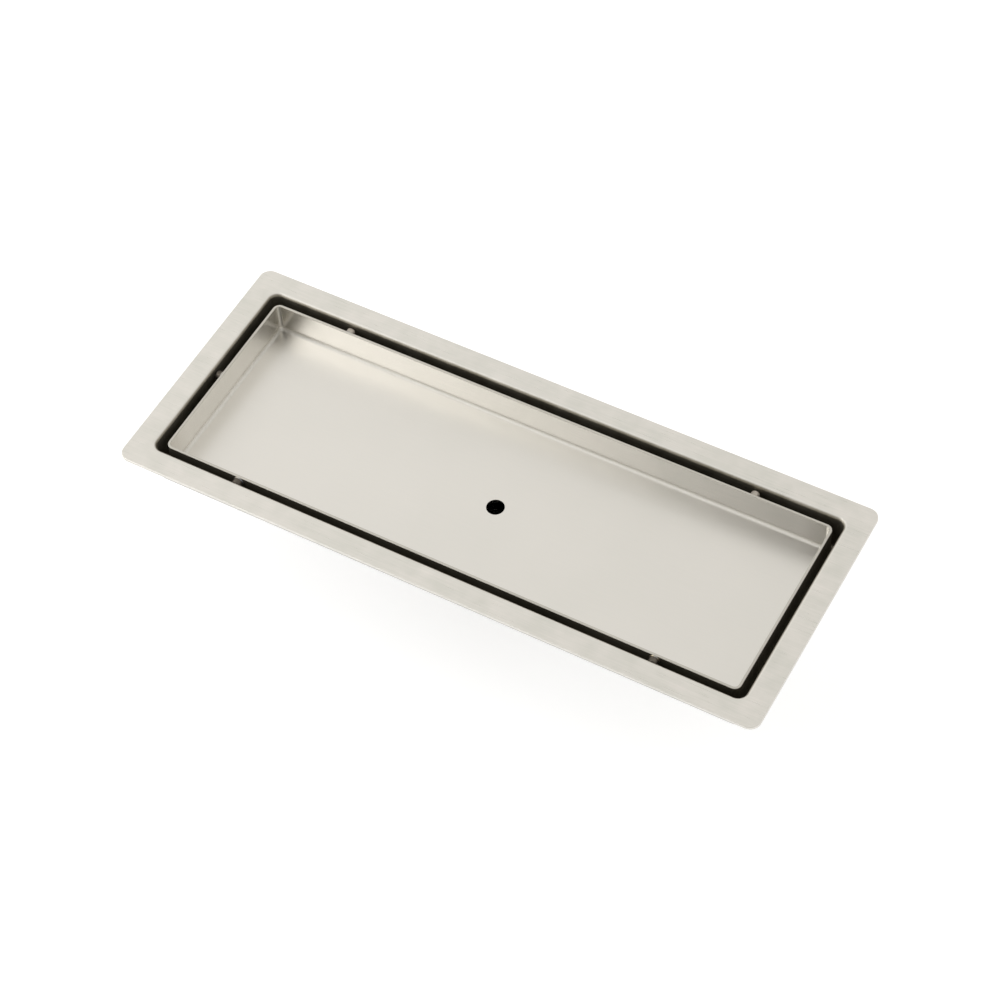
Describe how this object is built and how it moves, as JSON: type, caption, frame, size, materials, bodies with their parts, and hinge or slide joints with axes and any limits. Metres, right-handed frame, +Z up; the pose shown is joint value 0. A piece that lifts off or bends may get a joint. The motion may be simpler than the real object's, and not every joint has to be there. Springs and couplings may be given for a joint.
{
  "type": "floor drain",
  "caption": "Rectangular tile-insert floor drain: flanged stainless pan with a lift-out tile tray, drainage slot around it, bell trap and round bottom outlet.",
  "frame": {"origin": "centre of the outlet spigot's lower end, which is the lowest point", "axes": "+X along the drain's length, +Y to the back long side, +Z up to the finished floor"},
  "size_m": [0.3, 0.12, 0.0669],
  "materials": {
    "satin_stainless": "satin",
    "spun_stainless": "satin",
    "black_rubber": "matte"
  },
  "bodies": {
    "root": {"drain_body": "satin_stainless", "outlet_spigot": "satin_stainless", "tile_tray": "satin_stainless", "tray_spacer_front_left": "satin_stainless", "tray_spacer_front_right": "satin_stainless", "tray_spacer_back_left": "satin_stainless", "tray_spacer_back_right": "satin_stainless", "tray_spacer_left": "satin_stainless", "trap_cup": "spun_stainless", "trap_standpipe": "spun_stainless", "trap_bell": "spun_stainless", "bell_knob": "spun_stainless", "hair_strainer": "spun_stainless", "trap_gasket": "black_rubber", "tray_pad_front_left": "black_rubber", "tray_pad_front_middle": "black_rubber", "tray_pad_front_right": "black_rubber", "tray_pad_back_left": "black_rubber", "tray_pad_back_middle": "black_rubber", "tray_pad_back_right": "black_rubber"}
  },
  "joints": []
}
